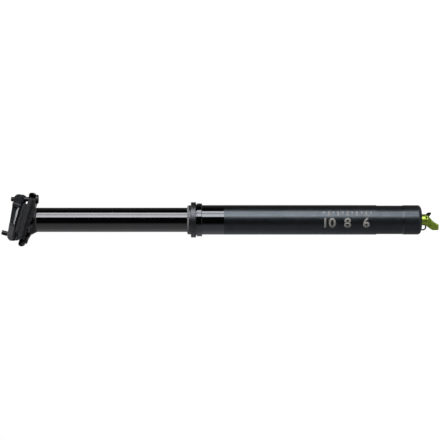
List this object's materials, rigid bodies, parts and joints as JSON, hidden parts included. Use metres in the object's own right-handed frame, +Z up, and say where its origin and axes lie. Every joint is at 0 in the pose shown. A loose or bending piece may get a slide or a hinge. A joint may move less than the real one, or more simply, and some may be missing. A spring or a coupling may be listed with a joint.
{
  "type": "dropper seatpost",
  "caption": "Telescopic bicycle seatpost: a gloss black tube slides in a satin black one, with a two-bolt saddle clamp on top and a green lever under the foot that opens the valve",
  "frame": {"origin": "on the post's axis, at the shoulder that rests on the seat tube", "axes": "Z runs up the post to the saddle, X points to the front of the bicycle, Y to its left"},
  "size_m": [0.0574, 0.054, 0.4683],
  "materials": {
    "satin_black": "satin black anodised aluminium",
    "matte_black": "matte black anodised aluminium, fine knurl",
    "gloss_black": "polished and hard anodised, gloss black",
    "clamp_black": "forged aluminium, blasted and anodised satin black",
    "black_steel": "black oxide steel",
    "green_anodised": "bright green anodised aluminium",
    "pin_steel": "ground steel",
    "grey_seal": "light grey seal elastomer",
    "black_rubber": "black rubber",
    "oil_foam": "oiled open foam",
    "bearing_plastic": "bearing polymer",
    "key_brass": "machined brass",
    "plain_aluminium": "machined aluminium"
  },
  "bodies": {
    "lower": {"outer_tube": "satin_black", "seal_collar": "matte_black", "wiper_seal": "grey_seal", "foam_ring": "oil_foam", "upper_bushing": "bearing_plastic", "bottom_cap": "satin_black", "cap_ring": "black_rubber", "piston_rod": "pin_steel", "main_piston": "plain_aluminium", "piston_seal": "black_rubber", "topout_bumper": "black_rubber", "actuator_clevis": "green_anodised", "cable_bracket": "black_steel", "lever_pin": "pin_steel"},
    "upper": {"stanchion": "gloss_black", "lower_bushing": "bearing_plastic", "guide_keys": "key_brass", "cartridge_nut": "plain_aluminium", "cartridge_tube": "pin_steel", "seal_head": "plain_aluminium", "rod_seal": "black_rubber", "seal_head_ring": "black_rubber", "cartridge_plug": "plain_aluminium", "seat_head": "gloss_black"},
    "gas_divider": {"floating_piston": "plain_aluminium", "floating_seal": "black_rubber"},
    "clamp": {"rail_cradle": "clamp_black", "clamp_plate_left": "clamp_black", "clamp_plate_right": "clamp_black"},
    "front_nut": {"front_barrel_nut": "black_steel"},
    "rear_nut": {"rear_barrel_nut": "black_steel"},
    "front_screw": {"front_bolt": "black_steel", "front_washer": "black_steel"},
    "rear_screw": {"rear_bolt": "black_steel", "rear_washer": "black_steel"},
    "lever": {"actuator_lever": "green_anodised"},
    "valve": {"valve_pin": "pin_steel"}
  },
  "joints": [
    {"name": "drop_slide", "type": "slide", "parent": "lower", "child": "upper", "axis": [0, 0, 1], "range_m": [-0.15, 0], "stiffness_N_per_m": 500, "springref_m": 0.35},
    {"name": "divider_slide", "type": "slide", "parent": "upper", "child": "gas_divider", "axis": [0, 0, 1], "range_m": [0, 0.0268]},
    {"name": "saddle_tilt", "type": "hinge", "parent": "upper", "child": "clamp", "pos_m": [0.00794, 0, 0.19934], "axis": [0, 1, 0], "range_deg": [-5, 5]},
    {"name": "front_screw_rock", "type": "hinge", "parent": "upper", "child": "front_screw", "pos_m": [0.02211, 0, 0.17624], "axis": [0, 1, 0], "range_deg": [-1.58, 1.58]},
    {"name": "rear_screw_rock", "type": "hinge", "parent": "upper", "child": "rear_screw", "pos_m": [-0.02098, 0, 0.18735], "axis": [0, 1, 0], "range_deg": [-2.21, 2.21]},
    {"name": "front_nut_turn", "type": "hinge", "parent": "clamp", "child": "front_nut", "pos_m": [0.02211, 0, 0.19434], "axis": [0, 1, 0], "range_deg": [-6.58, 6.58]},
    {"name": "rear_nut_turn", "type": "hinge", "parent": "clamp", "child": "rear_nut", "pos_m": [-0.01715, 0, 0.20071], "axis": [0, 1, 0], "range_deg": [-7.21, 7.21]},
    {"name": "valve_lift", "type": "slide", "parent": "lower", "child": "valve", "axis": [0, 0, 1], "range_m": [0, 0.00075], "stiffness_N_per_m": 100, "springref_m": -0.001},
    {"name": "lever_swing", "type": "hinge", "parent": "lower", "child": "lever", "pos_m": [0.0026, 0, -0.2399], "axis": [0, 1, 0], "range_deg": [0, 14.5], "stiffness_Nm_per_rad": 0.0002, "springref_deg": 51.57}
  ],
  "couplings": [
    {"joint": "divider_slide", "follows": "drop_slide", "ratio": -0.17728},
    {"joint": "front_screw_rock", "follows": "saddle_tilt", "ratio": -0.27623},
    {"joint": "rear_screw_rock", "follows": "saddle_tilt", "ratio": -0.40288},
    {"joint": "front_nut_turn", "follows": "saddle_tilt", "ratio": -1.2762},
    {"joint": "rear_nut_turn", "follows": "saddle_tilt", "ratio": -1.4029},
    {"joint": "lever_swing", "follows": "valve_lift", "rad_per_m": 325}
  ]
}
